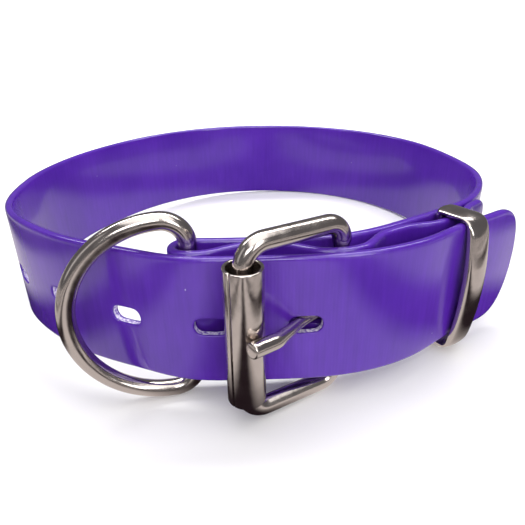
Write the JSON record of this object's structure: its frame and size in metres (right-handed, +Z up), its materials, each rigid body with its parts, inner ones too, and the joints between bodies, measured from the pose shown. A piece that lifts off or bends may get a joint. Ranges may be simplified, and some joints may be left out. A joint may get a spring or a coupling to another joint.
{
  "type": "dog collar",
  "caption": "Glossy webbing dog collar, fastened: strap with oblong holes, roller buckle with tongue, D-ring and metal keeper.",
  "frame": {"origin": "on the surface that the collar stands on, under the middle of its box", "axes": "+Z up, +Y from the buckle to the back of the neck loop, +X to the keeper and the free tail"},
  "size_m": [0.1732, 0.1888, 0.0575],
  "materials": {
    "webbing": "gloss",
    "nickel": "polished"
  },
  "bodies": {
    "collar": {"strap": "webbing", "buckle_frame": "nickel", "tongue": "nickel", "keeper": "nickel", "rivet_ring": "nickel", "rivet_buckle": "nickel", "rivet_keeper": "nickel"},
    "ring": {"d_ring": "nickel"},
    "roller": {"roller": "nickel"}
  },
  "joints": [
    {"name": "ring_swing", "type": "hinge", "parent": "collar", "child": "ring", "pos_m": [-0.01638, -0.07056, 0.02846], "axis": [0.031, 0.0501, 0.9983], "range_deg": [-1, 95]},
    {"name": "roller_spin", "type": "hinge", "parent": "collar", "child": "roller", "pos_m": [-0.00166, -0.08476, 0.02871], "axis": [0.031, 0.0501, 0.9983], "continuous": true}
  ]
}
